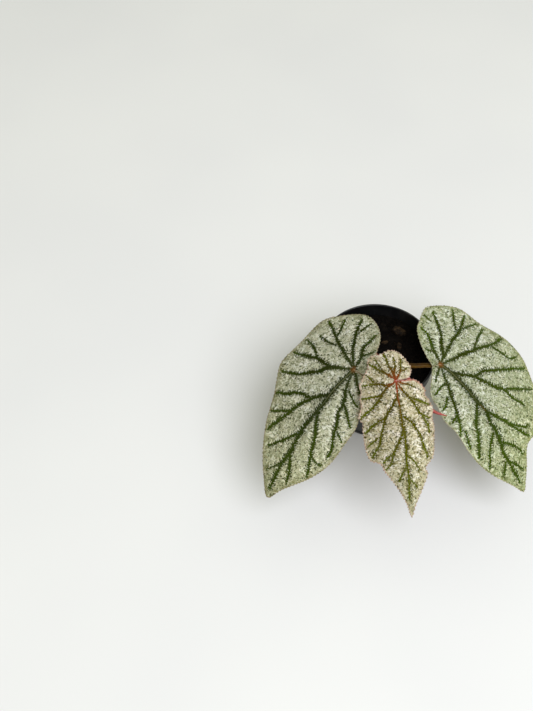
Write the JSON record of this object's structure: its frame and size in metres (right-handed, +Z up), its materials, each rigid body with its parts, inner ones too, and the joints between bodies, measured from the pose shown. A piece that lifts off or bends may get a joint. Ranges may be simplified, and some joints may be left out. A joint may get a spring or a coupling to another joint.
{
  "type": "potted cane begonia",
  "caption": "Young cane begonia in a round nursery pot: a short jointed cane with large, lopsided, heart-shaped silver leaves and green veins.",
  "frame": {"origin": "middle of the pot's foot, on the surface that it stands on", "axes": "+Z up; +X to the right as the leaves are faced; the leaves hang towards -Y"},
  "size_m": [0.2163, 0.172, 0.1174],
  "materials": {
    "pot_plastic": "moulded black plastic with a soft satin sheen",
    "potting_soil": "coarse dark potting mix of peat and bark, damp",
    "cane_skin": "smooth olive brown stem, ringed at the nodes",
    "leafstalk_skin": "smooth tan stalk with darker streaks",
    "silver_leaf": "silvery leaf with dark green veins and speckles, satin",
    "rosy_leaf": "pinkish silver leaf with olive veins and a red centre, satin",
    "new_growth": "red rolled young leaf, satin",
    "stipule_skin": "thin papery scale, reddish brown"
  },
  "bodies": {
    "root": {"pot": "pot_plastic", "soil": "potting_soil", "cane": "cane_skin", "leafstalk_left": "leafstalk_skin", "leafstalk_middle": "leafstalk_skin", "leafstalk_right": "leafstalk_skin", "blade_left": "silver_leaf", "blade_middle": "rosy_leaf", "blade_right": "silver_leaf", "young_leaf": "new_growth", "stipule_1": "stipule_skin", "stipule_2": "stipule_skin", "stipule_3": "stipule_skin", "stipule_4": "stipule_skin"}
  },
  "joints": []
}
